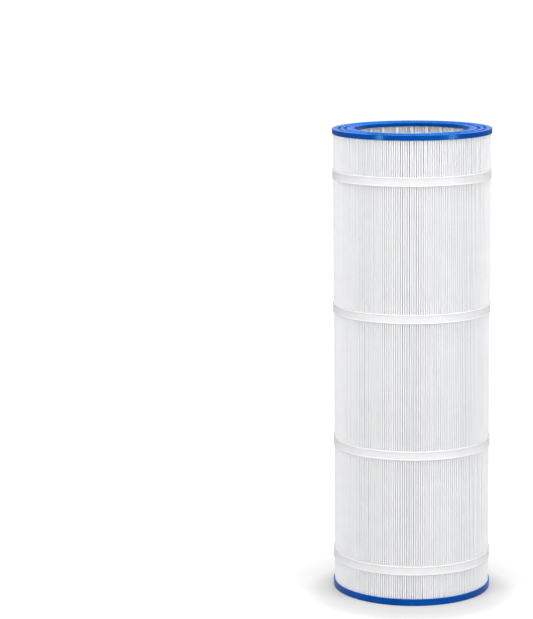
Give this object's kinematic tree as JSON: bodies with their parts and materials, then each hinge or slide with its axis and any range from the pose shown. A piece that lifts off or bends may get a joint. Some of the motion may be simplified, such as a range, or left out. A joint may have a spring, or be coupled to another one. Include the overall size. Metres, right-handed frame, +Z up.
{
  "type": "pleated filter cartridge",
  "caption": "Tall round pool filter cartridge: pleated white sheet round a cage core, cast end caps with sealing rings at both ends, and straps round the pleats.",
  "frame": {"origin": "centre of the bottom face, where the cartridge stands", "axes": "+Z runs up along the cartridge axis from the bottom cap to the top cap; -Y faces the viewer"},
  "size_m": [0.2556, 0.2556, 0.7535],
  "materials": {
    "cap_urethane": "smooth cast polyurethane with a soft gloss",
    "filter_sheet": "white spunbond polyester sheet",
    "hot_melt": "waxy hot-melt seam",
    "core_plastic": "moulded white plastic",
    "strap_plastic": "white strap with fine ribs along its length"
  },
  "bodies": {
    "root": {"top_end_cap": "cap_urethane", "bottom_end_cap": "cap_urethane", "pleated_media": "filter_sheet", "media_seam_strip": "hot_melt", "core_section_1": "core_plastic", "core_section_2": "core_plastic", "core_section_3": "core_plastic", "core_section_4": "core_plastic", "core_section_5": "core_plastic", "support_strap_1": "strap_plastic", "support_strap_2": "strap_plastic", "support_strap_3": "strap_plastic", "support_strap_4": "strap_plastic"}
  },
  "joints": []
}
